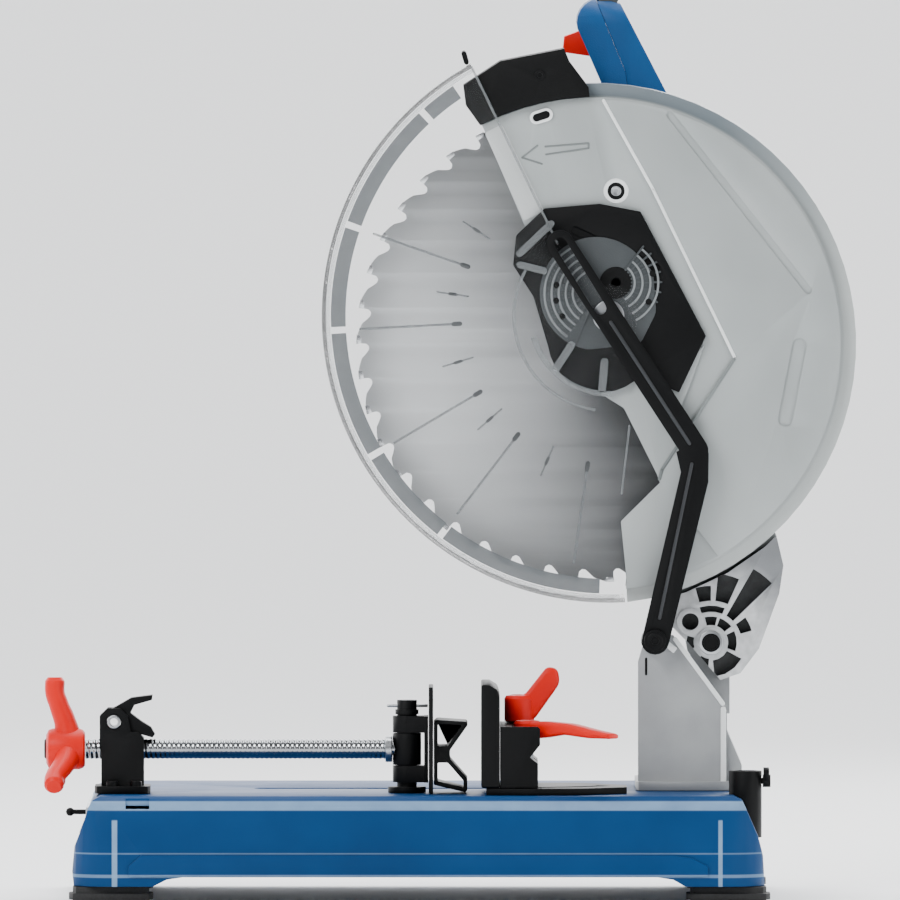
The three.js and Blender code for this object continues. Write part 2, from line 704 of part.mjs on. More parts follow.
function motorEndCap() {
  const cap = turnedY([
    [0, 197], [34, 197], [43, 192], [47, 184], [47, motorFar + gap], [43.8, motorFar + gap],
    [43.8, 182], [38, 190], [30, 193], [0, 193],
  ].reverse(), motorAxis, 24);
  const slots = [-28, -17, -6, 6, 17, 28].map((offset) => {
    const z = motorAxis[1] + offset;
    return side(capsule([motorAxis[0] - 22, z], [motorAxis[0] + 22, z], 4.5, 2), 185, 200);
  });
  return cut(cap, ...slots);
}

function brushCap(direction) {
  const from = motorAxis[0] + direction * 38;
  const to = motorAxis[0] + direction * 48.5;
  return rodX(7.3, Math.min(from, to), Math.max(from, to), [158, motorAxis[1]], 24);
}

function cordInlet() {
  const y = 186;
  const x = motorAxis[0];
  return cut(rodX(8, x + 47.4, x + 66, [y, motorAxis[1]], 20), rodX(4.5, x + 55, x + 70, [y, motorAxis[1]], 16));
}

// ---- Handle ----

const handleProfile = [
  ...arc([115, 555.5], 15, 200, 62, 8),
  [128, 567], [157.5, 510], [166, 480], [164, 432], [90, 432], [110, 480], [116, 516],
];
const seam = [[104, 590], [131.1, 523.7], [136, 480], [127, 425]];

// The loop stands across the saw; its two shells meet on a seam down the middle.
function handleLoop() {
  const loop = endOn(rounded([44, 425], [158, 572], 18, 5), 60, 200);
  const handHole = endOn(rounded([67, 462], [138, 536], 16, 4), 60, 200);
  const switchBay = side([[88, 531], [112, 531], [121, 539], [113, 553], [88, 553]], 83, 123);
  const bays = [0, 1.2, 2.4, 3.6].map((press) => {
    const slid = ([x, z]) => [x + press * 0.475, z - press * 0.88];
    return side(capsule(slid([122.5, 577]), slid([116, 560]), 12.6, 5), 52, 65);
  });
  const motorRoom = disc(motorAxis, 50.5, 40, 160, 48);
  return cut(side(handleProfile, 44, 158).intersect(loop), handHole, motorRoom, switchBay, ...bays);
}

function handleShell(sideSign) {
  const half = sideSign * 0.15;
  const far = sideSign * 100;
  const inner = seam.map(([x, z]) => [x + half, z]);
  return handleLoop().intersect(side([...inner, [seam[3][0] + far, 425], [seam[0][0] + far, 590]], 40, 170));
}

function trigger() {
  const outline = [[91, 536], [108, 533.5], [113, 539.5], [108.5, 549.5], [103, 550], [92, 546]];
  return side(outline, 84, 122);
}

function lockOffButton() {
  return side(capsule([122.5, 574], [116, 560], 11, 5), 53, 64);
}

// The lock's pin runs through the motor flange towards the gear.
function spindleLock() {
  return join(rodY(4, 64, 85, spindleLockAxis), rodY(6.5, 84.6, 92, spindleLockAxis, 20));
}

// ---- Assembly ----

const base = group(
  piece("base_casting", baseCasting(), "blue"),
  ...feet(),
  piece("pedestal", pedestal(), "cast"),
  piece("hinge_pin", hingePin(), "steel"),
  piece("return_spring", returnSpring(), "steel"),
  piece("depth_stop_screw", depthStopScrew(), "steel"),
  piece("rear_socket", rearSocket(), "black"),
  piece("vice_bracket", viceBracket(), "black"),
  piece("lever_pin", leverPin(), "steel"),
  piece("fence_base_plate", fenceBasePlate(), "black"),
  piece("link_pivot_bolt", linkPivotBolt(), "black"),
);

const movingOnBase = group(
  group(piece("chip_drawer", chipDrawer(), "steel"), piece("drawer_knob", drawerKnob(), "black")),
  piece("transport_lock_pin", transportLockPin(), "black"),
  piece("wing_screw", wingScrew(), "black"),
  piece("release_lever", releaseLever(), "black"),
  piece("link_bar", linkBar(), "black"),
);

const vice = group(
  piece("jaw_post", jawPost(), "black"),
  piece("jaw_cross_pin", jawCrossPin(), "steel"),
  group(piece("vice_screw", viceScrew(), "chrome"), piece("vice_handle", viceHandle(), "red")),
  group(
    piece("jaw_yoke", jawYoke(), "black"),
    piece("jaw_back_plate", jawBackPlate(), "black"),
    piece("v_jaw", vJaw(), "black"),
  ),
);

const fence = group(
  piece("fence_body", fenceBody(), "black"),
  piece("fence_face", fenceFace(), "black"),
  piece("fence_pivot_bolt", fencePivotBolt(), "black"),
  piece("fence_clamp_lever", fenceClampLever(), "red"),
  piece("fence_lock_lever", fenceLockLever(), "red"),
);

const bladeSet = group(
  piece("blade", blade(), "steel"),
  piece("spindle", spindle(), "steel"),
  piece("inner_flange", ring(bladeAxis, 8.3, 26, bladeHalf + gap, 8), "steel"),
  piece("outer_flange", ring(bladeAxis, 8.3, 26, -8, -bladeHalf - gap), "steel"),
  piece("blade_bolt", bladeBolt(), "steel"),
  piece("drive_gear", driveGear(), "steel"),
);

const head = group(
  piece("head_casting", headCasting(), "cast"),
  piece("fixed_guard", fixedGuard(), "silver"),
  piece("guard_top_cap", guardTopCap(), "blackMoulding"),
  piece("hub_cover_plate", hubCoverPlate(), "black"),
  piece("hub_rib_plate", hubRibPlate(), "grey"),
  piece("guard_stud", guardStud(), "steel"),
  piece("front_bearing", ring(bladeAxis, 8.3, 16.4, 38.3, 47), "chrome"),
  piece("rear_bearing", ring(bladeAxis, 8.3, 16.4, 61.5, 69.7), "chrome"),
  piece("motor_housing", motorHousing(), "blueShell"),
  piece("motor_end_cap", motorEndCap(), "blackMoulding"),
  piece("brush_cap_front", brushCap(-1), "blackMoulding"),
  piece("brush_cap_rear", brushCap(1), "blackMoulding"),
  piece("cord_inlet", cordInlet(), "rubber"),
  piece("handle_front_shell", handleShell(-1), "blueShell"),
  piece("handle_rear_shell", handleShell(1), "blueShell"),
  group(piece("trigger", trigger(), "red")),
  group(piece("lock_off_button", lockOffButton(), "grey")),
  group(piece("spindle_lock", spindleLock(), "red")),
  group(piece("clear_guard", clearGuard(), "clear"), piece("guard_tab", guardTab(), "black")),
  group(piece("armature", armature(), "steel")),
  bladeSet,
);

const saw = group(base, movingOnBase, vice, fence, head);
const bounds = new THREE.Box3().setFromObject(saw);
const centre = bounds.getCenter(new THREE.Vector3());
saw.position.set(-centre.x, -centre.y, -bounds.min.z);

export default saw;
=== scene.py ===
import json
import math

import bmesh
import bpy
from mathutils import Matrix, Vector


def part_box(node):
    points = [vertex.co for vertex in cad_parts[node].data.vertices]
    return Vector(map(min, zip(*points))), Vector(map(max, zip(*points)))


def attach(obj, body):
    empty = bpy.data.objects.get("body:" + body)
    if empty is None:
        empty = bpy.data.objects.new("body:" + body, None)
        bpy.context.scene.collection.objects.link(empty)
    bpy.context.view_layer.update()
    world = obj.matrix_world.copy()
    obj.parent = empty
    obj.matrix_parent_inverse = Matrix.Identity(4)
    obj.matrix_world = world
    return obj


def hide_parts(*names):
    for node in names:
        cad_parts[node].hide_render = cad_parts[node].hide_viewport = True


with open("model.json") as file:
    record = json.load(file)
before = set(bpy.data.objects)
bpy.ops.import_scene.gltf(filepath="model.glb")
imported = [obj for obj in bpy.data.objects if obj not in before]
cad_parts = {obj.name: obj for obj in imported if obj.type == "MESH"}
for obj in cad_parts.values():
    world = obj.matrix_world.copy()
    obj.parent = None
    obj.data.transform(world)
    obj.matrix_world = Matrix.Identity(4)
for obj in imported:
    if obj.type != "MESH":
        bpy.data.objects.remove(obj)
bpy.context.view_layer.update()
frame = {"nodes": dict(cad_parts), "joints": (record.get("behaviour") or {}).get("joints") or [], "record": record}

mm = 0.001
jointList = {joint["name"]: joint for joint in frame["joints"]}


def jointPoint(name):
    return Vector(jointList[name]["pos_m"])


headPoint = jointPoint("head_tilt")
bladePoint = jointPoint("blade_spin")


# shader maths

class Value:
    def __init__(self, finish, socket):
        self.finish = finish
        self.socket = socket

    def __add__(self, other):
        return self.finish.maths("ADD", self, other)

    def __radd__(self, other):
        return self.finish.maths("ADD", other, self)

    def __sub__(self, other):
        return self.finish.maths("SUBTRACT", self, other)

    def __rsub__(self, other):
        return self.finish.maths("SUBTRACT", other, self)

    def __mul__(self, other):
        return self.finish.maths("MULTIPLY", self, other)

    def __rmul__(self, other):
        return self.finish.maths("MULTIPLY", other, self)

    def __truediv__(self, other):
        return self.finish.maths("DIVIDE", self, other)

    def __pow__(self, other):
        return self.finish.maths("POWER", self, other)


class Finish:
    def __init__(self, name):
        self.material = bpy.data.materials.new(name)
        self.material.use_nodes = True
        self.tree = self.material.node_tree
        self.tree.nodes.clear()
        self.place = self.node("ShaderNodeTexCoord", {}, {}, "Object")

    def node(self, kind, settings, sockets, out=0):
        made = self.tree.nodes.new(kind)
        for name, setting in settings.items():
            setattr(made, name, setting)
        for key, value in sockets.items():
            if isinstance(value, Value):
                self.tree.links.new(value.socket, made.inputs[key])
            else:
                made.inputs[key].default_value = value
        return Value(self, made.outputs[out])

    def maths(self, operation, first, second=0.0):
        return self.node("ShaderNodeMath", {"operation": operation}, {0: first, 1: second})

    def clamp(self, value):
        return self.node("ShaderNodeClamp", {}, {0: value})

    def vector(self, operation, first, second=(0, 0, 0), out=0):
        return self.node("ShaderNodeVectorMath", {"operation": operation}, {0: first, 1: second}, out)

    def scaled(self, place, factors):
        return self.vector("MULTIPLY", place, factors)

    def noise(self, scale, detail=3.0, roughness=0.5, place=None):
        sockets = {"Vector": place or self.place, "Scale": scale, "Detail": detail, "Roughness": roughness}
        return self.node("ShaderNodeTexNoise", {}, sockets, "Fac")

    def cells(self, scale):
        return self.node("ShaderNodeTexVoronoi", {}, {"Vector": self.place, "Scale": scale}, "Distance")

    def spread(self, value, low, high):  # stretches low..high to 0..1
        sockets = {"Value": value, "From Min": low, "From Max": high}
        return self.node("ShaderNodeMapRange", {}, sockets, "Result")

    def mix(self, factor, first, second, blend="MIX"):
        settings = {"data_type": "RGBA", "blend_type": blend}
        return self.node("ShaderNodeMix", settings, {0: factor, 6: first, 7: second}, 2)

    def bump(self, height, distance):
        return self.node("ShaderNodeBump", {}, {"Height": height, "Distance": distance, "Strength": 1.0})

    def round(self, centre):  # distance from a Y axis through centre, and the angle round it in turns
        away = self.vector("SUBTRACT", self.place, tuple(centre))
        radial = self.vector("MULTIPLY", away, (1, 0, 1))
        distance = self.vector("LENGTH", radial, out="Value")
        split = self.node("ShaderNodeSeparateXYZ", {}, {0: away}, "X")
        x, z = split, Value(self, split.socket.node.outputs["Z"])
        return distance, self.maths("ARCTAN2", z, x) / math.tau

    def surface(self, **sockets):
        names = {key: key.replace("_", " ") for key in sockets}
        shader = self.node("ShaderNodeBsdfPrincipled", {}, {names[key]: sockets[key] for key in sockets})
        result = self.tree.nodes.new("ShaderNodeOutputMaterial")
        self.tree.links.new(shader.socket, result.inputs["Surface"])
        return self.material


def colour(red, green, blue):  # display values to linear
    def linear(v):
        v = v / 255
        return v / 12.92 if v <= 0.04045 else ((v + 0.055) / 1.055) ** 2.4
    return (linear(red), linear(green), linear(blue), 1)


# finishes

def paintFinish(name, base, dark, grain, metallic=0.0, roughness=0.4, coat=0.2, sheen=0.3):
    # sprayed paint: a slow drift of tone, faint orange peel and a few dull patches
    f = Finish(name)
    drift = f.noise(14, 3)
    tone = f.mix(f.spread(drift, 0.35, 0.7), dark, base)
    peel = f.noise(grain, 2, 0.6)
    dull = f.noise(38, 4, 0.6)
    return f.surface(
        Base_Color=f.mix(f.spread(f.noise(240, 2), 0.3, 0.8) * 0.05, tone, (1, 1, 1, 1), "SOFT_LIGHT"),
        Roughness=roughness + (dull - 0.5) * 0.16,
        Metallic=metallic,
        Coat_Weight=coat,
        Coat_Roughness=0.25,
        Specular_IOR_Level=sheen,
        Normal=f.bump(peel, 0.00006),
    )


paintedHighlightBands = {  # metres: stretches of height, and of length along the base, where pale lines of painted highlight lie
    "shoulder": (0.0588, 0.0646), "corners": ((-0.2142, -0.2108), (0.1690, 0.1716)),
    "cornerHeight": (0.008, 0.0525), "panelLine": (0.0312, 0.0322), "lowerEdge": (0.0164, 0.0184),
    "nearDepth": 0.03,
}


def basePaint(name):
    # sprayed paint, with painted highlight lines along the shoulder, the near side's ridges and the foot of its
    # panel
    f = Finish(name)
    shape = paintedHighlightBands
    across = f.node("ShaderNodeSeparateXYZ", {}, {0: f.place}, "X")
    depth, height = (Value(f, across.socket.node.outputs[way]) for way in "YZ")
    def within(value, low, high, soft):
        return f.clamp(f.spread(value, low, low + soft)) * f.clamp(f.spread(value, high + soft, high))
    reach = baseNear + shape["nearDepth"]
    near = f.clamp(f.spread(depth, reach, reach - 0.006))
    shoulder = within(height, *shape["shoulder"], 0.0008)
    first, second = (within(across, *ends, 0.0005) for ends in shape["corners"])
    ridge = (first + second) * within(height, *shape["cornerHeight"], 0.001) * near
    panelLine, lowerEdge = (within(height, *shape[key], 0.0004) for key in ("panelLine", "lowerEdge"))
    foot = (panelLine * 0.4 + lowerEdge * 0.6) * near
    drift, highlightBreakup, dull = f.noise(14, 3), f.noise(55, 4, 0.6), f.noise(38, 4, 0.6)
    tone = f.mix(f.spread(drift, 0.35, 0.7), colour(6, 52, 96), colour(8, 59, 106))
    # pale lines of painted highlight, broken up by noise
    paintedLight = f.clamp((shoulder * 0.8 + ridge * 0.9 + foot) * (highlightBreakup * 0.5 + 0.7))
    return f.surface(
        Base_Color=f.mix(paintedLight, tone, colour(122, 152, 182)),
        Roughness=0.46 + (dull - 0.5) * 0.16,
        Specular_IOR_Level=0.1,
        Normal=f.bump(f.noise(900, 2, 0.6), 0.00006),
    )


def mouldedFinish(name, base, dark, roughness=0.5, grain=1400, depth=0.00007, sheen=0.3):
    # moulded plastic: spark-eroded texture of small rounded cells, and slow tone changes
    f = Finish(name)
    cells = f.cells(grain)
    fine = f.noise(grain * 0.7, 3, 0.6)
    tone = f.mix(f.spread(f.noise(22, 2), 0.3, 0.75), dark, base)
    return f.surface(
        Base_Color=f.mix(f.spread(fine, 0.4, 0.7) * 0.05, tone, (1, 1, 1, 1), "SOFT_LIGHT"),
        Roughness=roughness + (fine - 0.5) * 0.2,
        Specular_IOR_Level=sheen,
        Normal=f.bump(cells + fine * 0.5, depth),
    )


def castFinish(name, base, dark):
    # cast alloy: fine grainy skin, a few small pits and slow tone changes
    f = Finish(name)
    skin = f.noise(1100, 4, 0.6)
    lumps = f.noise(34, 3, 0.5)
    pits = f.spread(f.cells(420), 0.03, 0.12)
    tone = f.mix(f.spread(lumps, 0.3, 0.75), dark, base)
    return f.surface(
        Base_Color=f.mix(f.clamp(pits) * 0.5 + 0.5, dark, tone),
        Roughness=0.46 + (skin - 0.5) * 0.2,
        Metallic=0.3,
        Specular_IOR_Level=0.35,
        Normal=f.bump(skin * 0.6 + pits * 0.3, 0.00014),
    )


def steelFinish(name, base, dark, roughness=0.32, streaks=(60, 2600, 60)):
    # turned or ground steel: fine streaks along one way and faint stains
    f = Finish(name)
    lines = f.noise(1, 4, 0.7, f.scaled(f.place, streaks))
    stain = f.noise(30, 4, 0.6)
    return f.surface(
        Base_Color=f.mix(f.spread(stain, 0.3, 0.75), dark, base),
        Roughness=roughness + (lines - 0.5) * 0.25,
        Metallic=1.0,
        Normal=f.bump(lines, 0.00004),
    )


def bladeFinish(name):
    # ground plate: rings round the arbor, one pale sweep of painted reflection, and painted shade darker towards
    # the arbor
    f = Finish(name)
    distance, turn = f.round(bladePoint)
    rings = f.noise(1, 4, 0.7, f.node("ShaderNodeCombineXYZ", {}, {"X": distance * 5200, "Y": turn * 6}))
    paintedReflection = (f.maths("COSINE", (turn + 0.467) * math.tau) * 0.5 + 0.5) ** 2.4
    paintedLight = f.clamp(f.spread(distance, 0.03, 0.125)) * 0.5 + 0.5
    tarnish = f.noise(26, 4, 0.6)
    # tone runs from dark to pale steel with the painted reflection sweep and the painted shade near the arbor
    tone = f.mix(f.clamp(paintedReflection * paintedLight), colour(22, 24, 27), colour(196, 199, 201))
    return f.surface(
        Base_Color=f.mix(f.spread(tarnish, 0.5, 0.9) * 0.12, tone, colour(150, 148, 142)),
        Roughness=0.38 + (rings - 0.5) * 0.2,
        Metallic=0.3,
        Specular_IOR_Level=0.25,
        Normal=f.bump(rings, 0.00002),
    )


def guardFinish(name):
    # sprayed silver; the sunk rim outside the side face carries painted light, pale at its right end and painted
    # shade towards its top
    f = Finish(name)
    distance, turn = f.round(bladePoint)
    rim = f.spread(distance, 0.1566, 0.1582)
    drift = f.noise(9, 3)
    peel = f.noise(1100, 2, 0.6)
    tone = f.mix(f.spread(drift, 0.35, 0.7), colour(150, 156, 156), colour(164, 169, 169))
    # painted light on the rim: pale towards its right end, painted shade towards its top
    rimLightAndShade = f.mix(f.clamp(f.spread(turn, 0.03, 0.17)), colour(172, 177, 176), colour(104, 114, 120))
    return f.surface(
        Base_Color=f.mix(f.clamp(rim), tone, rimLightAndShade),
        Roughness=0.42 + (drift - 0.5) * 0.1,
        Metallic=0.25,
        Coat_Weight=0.1,
        Specular_IOR_Level=0.35,
        Normal=f.bump(peel, 0.00005),
    )


def rubberFinish(name):
    f = Finish(name)
    skin = f.noise(700, 4, 0.7)
    dust = f.spread(f.noise(60, 4, 0.7), 0.5, 0.8)
    return f.surface(
        Base_Color=f.mix(dust * 0.25, colour(16, 17, 18), colour(58, 58, 58)),
        Roughness=0.75 + (skin - 0.5) * 0.3,
        Normal=f.bump(skin, 0.00012),
    )


def clearFinish(name):
    # clear sheet with hairline scratches and faint dust
    f = Finish(name)
    scratches = f.noise(1, 5, 0.75, f.scaled(f.place, (900, 900, 45)))
    dust = f.noise(90, 4, 0.65)
    haze = 0.006 + f.spread(scratches, 0.55, 0.8) * 0.01 + f.spread(dust, 0.5, 0.8) * 0.006
    return f.surface(
        Base_Color=f.mix(dust * 0.3, colour(232, 236, 238), colour(206, 212, 214)),
        Alpha=f.clamp(haze),
        Roughness=0.1 + dust * 0.08,
        IOR=1.45,
        Normal=f.bump(scratches, 0.00001),
    )


def hingeFinish(name):
    # cast alloy again: painted highlight on the front faces round the hinge, fading to painted shade further out,
    # and painted shade in its cored pockets
    f = Finish(name)
    depth = f.node("ShaderNodeSeparateXYZ", {}, {0: f.place}, "Y")
    distance = f.round(headPoint)[0]
    sunk = f.clamp(f.spread(depth, drawingNear + 0.0022, drawingNear + 0.0045))
    shallow = f.clamp(f.spread(depth, drawingNear + 0.03, drawingNear + 0.024))
    pocket = sunk * shallow * f.clamp(f.spread(distance, 0.075, 0.066))
    skin = f.noise(900, 5, 0.65)
    lumps = f.noise(160, 3, 0.5)
    # painted highlight on the front faces, fading to painted shade further from the hinge; painted shade in the
    # pockets
    hingeHighlight = f.mix(f.spread(lumps, 0.35, 0.7), colour(172, 175, 177), colour(196, 198, 200))
    faceLightAndShade = f.mix(f.clamp(f.spread(distance, 0.032, 0.058)), hingeHighlight, colour(112, 115, 118))
    pocketShade = f.mix(f.spread(lumps, 0.35, 0.7), colour(26, 28, 30), colour(44, 47, 49))
    plain = f.mix(f.spread(lumps, 0.3, 0.8), colour(142, 145, 147), colour(152, 155, 157))
    return f.surface(
        Base_Color=f.mix(f.clamp(pocket), f.mix(sunk, faceLightAndShade, plain), pocketShade),
        Roughness=0.42 + (skin - 0.5) * 0.3,
        Metallic=0.25,
        Normal=f.bump(skin * 0.6 + lumps * 0.5, 0.00018),
    )


def tintedFinish(name, tint, cover, roughness):
    # a line or edge of the clear sheet, milky or dark with a slow change of cover along it
    f = Finish(name)
    drift = f.noise(34, 3)
    fine = f.noise(700, 3, 0.6)
    return f.surface(
        Base_Color=f.mix(drift * 0.2, tint, colour(150, 155, 158)),
        Alpha=f.clamp(cover + (drift - 0.5) * 0.3),
        Roughness=roughness + (fine - 0.5) * 0.1,
        Normal=f.bump(fine, 0.00002),
    )


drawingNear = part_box("head_casting")[0].y
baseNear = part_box("base_casting")[0].y

finishList = {
    "blue_paint": basePaint("bluePaint"),
    "silver_paint": guardFinish("silverPaint"),
    "black_coat": paintFinish("blackCoat", colour(4, 5, 6), colour(2, 3, 4), 1300, 0.0, 0.5, 0.0, 0.14),
    "blue_moulding": mouldedFinish("blueMoulding", colour(12, 70, 122), colour(9, 61, 108), 0.48, sheen=0.2),
    "red_moulding": mouldedFinish(
        "redMoulding", colour(212, 12, 0), colour(192, 8, 0), 0.44, 900, 0.00003, 0.18
    ),
    "black_moulding": mouldedFinish("blackMoulding", colour(5, 6, 7), colour(3, 4, 4), 0.58, sheen=0.14),
    "grey_moulding": mouldedFinish("greyMoulding", colour(66, 70, 72), colour(50, 54, 56), 0.5, sheen=0.2),
    "cast_alloy": castFinish("castAlloy", colour(158, 161, 162), colour(142, 145, 147)),
    "steel": steelFinish("steel", colour(190, 193, 196), colour(150, 153, 156)),
    "chrome": steelFinish("chrome", colour(166, 169, 172), colour(140, 143, 146), 0.18, (2600, 60, 60)),
    "rubber": rubberFinish("rubber"),
    "clear_guard": clearFinish("clearSheet"),
}
bladeSteel = bladeFinish("bladeSteel")
tipSteel = steelFinish("tipSteel", colour(236, 238, 240), colour(214, 217, 220), 0.25, (300, 300, 300))
hingeCast = hingeFinish("hingeCast")
rimSheet = tintedFinish("rimSheet", colour(8, 9, 10), 0.62, 0.2)
bandSheet = tintedFinish("bandSheet", colour(86, 91, 94), 0.8, 0.35)
ribSheet = tintedFinish("ribSheet", colour(92, 97, 100), 0.55, 0.3)
studSheet = tintedFinish("studSheet", colour(46, 49, 51), 0.9, 0.3)
paleLine = tintedFinish("paleLine", colour(190, 195, 197), 0.34, 0.25)
hubLine = tintedFinish("hubLine", colour(112, 117, 119), 0.42, 0.3)
# lighter and darker copies of the silver and black paint: painted highlight and painted shade for edges, strips
# and lines
paintedHighlightEdge = paintFinish("paintedHighlightEdge", colour(236, 239, 239), colour(224, 228, 228), 1100, 0.2, 0.35, 0.2)
paintedHighlightStrip = paintFinish("paintedHighlightStrip", colour(186, 190, 190), colour(176, 180, 180), 1100, 0.2, 0.4, 0.1)
shadeLine = paintFinish("shadeLine", colour(120, 126, 126), colour(104, 110, 110), 1100, 0.2, 0.45, 0.1)
ribHighlightGrey = paintFinish("ribHighlightGrey", colour(48, 51, 54), colour(36, 38, 41), 1300, 0.1, 0.4, 0.1)
ribHighlightMoulding = mouldedFinish("ribHighlightMoulding", colour(122, 127, 129), colour(92, 97, 99), 0.5)
print("finishes made:", len(bpy.data.materials))

slotOf = {part["node"]: part["material_slot"] for part in frame["record"]["subparts"]}


# shapes, all drawn in millimetres on the saw's own drawing and moved to the frame

drawing = bladePoint - Vector((111.7, 0, 351.7)) * mm  # where the drawing's zero lies
bladeAxis = (111.7, 351.7)
motorAxis = (124.3, 390.8)
clearAxis = (119.7, 369.8)
headAxis = (184.9, 161.9)

sidePlane = Matrix(((1, 0, 0, 0), (0, 0, 1, 0), (0, 1, 0, 0), (0, 0, 0, 1)))  # outline in X and Z


def polar(centre, radius, degrees):
    angle = math.radians(degrees)
    return (centre[0] + radius * math.cos(angle), centre[1] + radius * math.sin(angle))


def arc(centre, radius, start, end, steps):
    return [polar(centre, radius, start + (end - start) * i / steps) for i in range(steps + 1)]


def circle(centre, radius, steps=48):
    return arc(centre, radius, 0, 360 - 360 / steps, steps - 1)


def band(centre, inner, outer, start, end, steps=48):
    return arc(centre, outer, start, end, steps) + arc(centre, inner, end, start, steps)


def capsule(first, second, width, steps=10):
    lean = math.degrees(math.atan2(second[1] - first[1], second[0] - first[0]))
    ahead = arc(second, width / 2, lean - 90, lean + 90, steps)
    return ahead + arc(first, width / 2, lean + 90, lean + 270, steps)


def softened(outline, radius, steps=4):  # each corner of an outline rounded
    made = []
    for i, corner in enumerate(outline):
        here = Vector(corner)
        before, after = Vector(outline[i - 1]) - here, Vector(outline[(i + 1) % len(outline)]) - here
        reach = min(radius, before.length * 0.45, after.length * 0.45)
        first, last = here + before.normalized() * reach, here + after.normalized() * reach
        for k in range(steps + 1):
            t = k / steps
            made.append(tuple(first * (1 - t) ** 2 + here * 2 * t * (1 - t) + last * t * t))
    return made


def meshPiece(name, points, faces, sharp=35):
    mesh = bpy.data.meshes.new(name)
    mesh.from_pydata([drawing + Vector(point) * mm for point in points], [], faces)
    piece = bpy.data.objects.new(name, mesh)
    bpy.context.scene.collection.objects.link(piece)
    clean(piece, sharp)
    return piece


def clean(piece, sharp=35):
    shape = bmesh.new()
    shape.from_mesh(piece.data)
    bmesh.ops.remove_doubles(shape, verts=shape.verts, dist=0.000004)
    bmesh.ops.recalc_face_normals(shape, faces=shape.faces)
    shape.to_mesh(piece.data)
    shape.free()
    piece.data.polygons.foreach_set("use_smooth", [True] * len(piece.data.polygons))
    piece.data.set_sharp_from_angle(angle=math.radians(sharp))


def asMesh(name, curve, matrix):
    holder = bpy.data.objects.new(name + "Line", curve)
    bpy.context.scene.collection.objects.link(holder)
    mesh = bpy.data.meshes.new_from_object(holder.evaluated_get(bpy.context.evaluated_depsgraph_get()))
    bpy.data.objects.remove(holder)
    bpy.data.curves.remove(curve)
    mesh.transform(matrix)
    mesh.transform(Matrix.Translation(drawing))
    piece = bpy.data.objects.new(name, mesh)
    bpy.context.scene.collection.objects.link(piece)
    clean(piece)
    return piece


def slab(name, outlines, low, high, edge=0.4, turn=None):
    # outlines, the first outer and the rest holes, given a thickness and rounded edges
    curve = bpy.data.curves.new(name, "CURVE")
    curve.dimensions = "2D"
    curve.fill_mode = "BOTH"
    curve.extrude = max((high - low) / 2 - edge, 0.001) * mm
    curve.bevel_depth = edge * mm
    curve.bevel_resolution = 2
    curve.offset = -edge * mm
    for outline in outlines:
        spline = curve.splines.new("POLY")
        spline.points.add(len(outline) - 1)
        spline.use_cyclic_u = True
        for point, (a, b) in zip(spline.points, outline):
            point.co = (a * mm, b * mm, 0, 1)
    lift = Matrix.Translation((0, 0, (low + high) / 2 * mm))
    matrix = sidePlane @ lift
    return asMesh(name, curve, turn @ matrix if turn else matrix)


def turned(name, profile, centre, axis="Y", segments=64, closed=False):
    # profile of (radius, distance along the axis), turned about the axis through centre
    along = {"X": Vector((1, 0, 0)), "Y": Vector((0, 1, 0)), "Z": Vector((0, 0, 1))}[axis]
    across = {"X": Vector((0, 1, 0)), "Y": Vector((0, 0, 1)), "Z": Vector((1, 0, 0))}[axis]
    third = along.cross(across)
    points, faces = [], []
    for radius, distance in profile:
        for k in range(segments):
            angle = math.tau * k / segments
            around = across * math.cos(angle) + third * math.sin(angle)
            points.append(Vector(centre) + along * distance + around * max(radius, 0.001))
    rows = len(profile)
    for row in range(rows if closed else rows - 1):
        here, ahead = row * segments, (row + 1) % rows * segments
        for k in range(segments):
            side = (k + 1) % segments
            faces.append((here + k, here + side, ahead + side, ahead + k))
    if not closed:
        faces.append(tuple(range(segments)))
        faces.append(tuple(range((rows - 1) * segments, rows * segments)))
    return meshPiece(name, points, faces, 28)


def swept(name, stops, sides=6):
    # a round bar through (x, y, z, radius) stops
    curve = bpy.data.curves.new(name, "CURVE")
    curve.dimensions = "3D"
    curve.bevel_depth = mm
    curve.bevel_resolution = sides
    curve.use_fill_caps = True
    curve.resolution_u = 10
    spline = curve.splines.new("BEZIER")
    spline.bezier_points.add(len(stops) - 1)
    for point, (x, y, z, radius) in zip(spline.bezier_points, stops):
        point.co = Vector((x, y, z)) * mm
        point.radius = radius
        point.handle_left_type = point.handle_right_type = "AUTO"
    return asMesh(name, curve, Matrix.Identity(4))


def fit(piece, body, slotName, material=None, replaced=()):
    dress(piece, material or finishList[slotName])
    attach(piece, body)
    if replaced:
        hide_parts(*replaced)
    return piece


def screwHead(name, centre, axis, outward, radius, body, slotName="steel", height=3.0):
    # a socket-head screw: domed rim, and a round recess that shows dark
    rise = height * outward
    profile = [
        (radius, 0), (radius, rise * 0.8), (radius * 0.9, rise), (radius * 0.55, rise),
        (radius * 0.5, rise * 0.92), (radius * 0.48, rise * 0.3), (0.001, rise * 0.25),
    ]
    head = turned(name, profile, centre, axis, 24)
    return fit(head, body, slotName)


# CAD nodes that show as they are, with their edges eased

easing = {
    "default": 0.5,
    "base_casting": 2.0,
    "pedestal": 1.2,
    "head_casting": 0.8,
    "fixed_guard": 0.9,
    "guard_top_cap": 1.4,
    "hub_cover_plate": 0.8,
    "link_bar": 1.5,
    "motor_housing": 0.9,
    "motor_end_cap": 0.8,
    "fence_body": 1.4,
    "fence_face": 1.2,
    "vice_bracket": 1.2,
    "jaw_yoke": 0.6,
    "v_jaw": 0.7,
    "armature": 0.0,
    "drive_gear": 0.0,
    "return_spring": 0.0,
}


